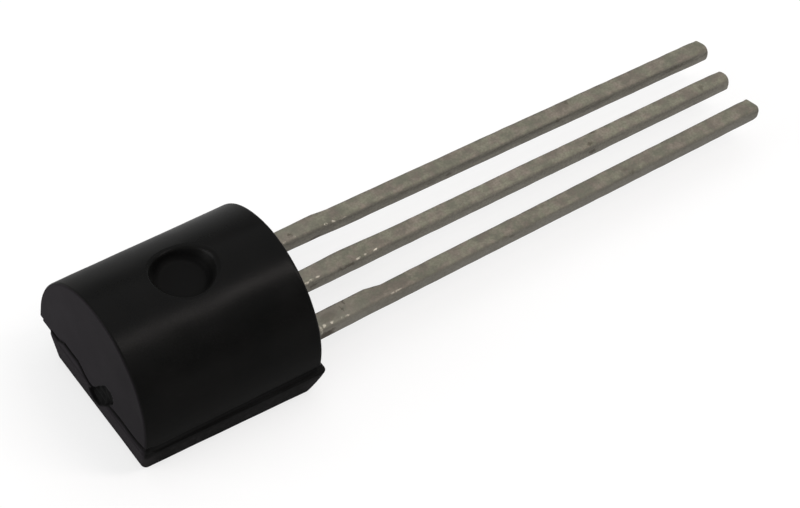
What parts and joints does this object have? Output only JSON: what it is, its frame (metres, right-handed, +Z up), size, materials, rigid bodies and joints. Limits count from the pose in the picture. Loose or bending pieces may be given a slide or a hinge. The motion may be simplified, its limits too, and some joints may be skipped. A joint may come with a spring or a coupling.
{
  "type": "temperature sensor",
  "caption": "Small moulded temperature sensor with a round back, a flat face and straight tinned leads in a row, for soldering into a circuit board.",
  "frame": {"origin": "under the middle of the whole part's box, on the plane of the flat face", "axes": "+X along the leads, away from the body; +Z up from the flat face to the round back; +Y to the side of the far lead"},
  "size_m": [0.0184, 0.0044, 0.0034],
  "materials": {
    "epoxy": "satin",
    "tinned_lead": "satin",
    "die_bond": "matte",
    "silicon": "polished",
    "wire": "polished"
  },
  "bodies": {
    "root": {"body": "epoxy", "far_lead": "tinned_lead", "middle_lead": "tinned_lead", "near_lead": "tinned_lead", "die_attach": "die_bond", "sensor_die": "silicon", "supply_wire": "wire", "signal_wire": "wire", "ground_wire": "wire"}
  },
  "joints": []
}
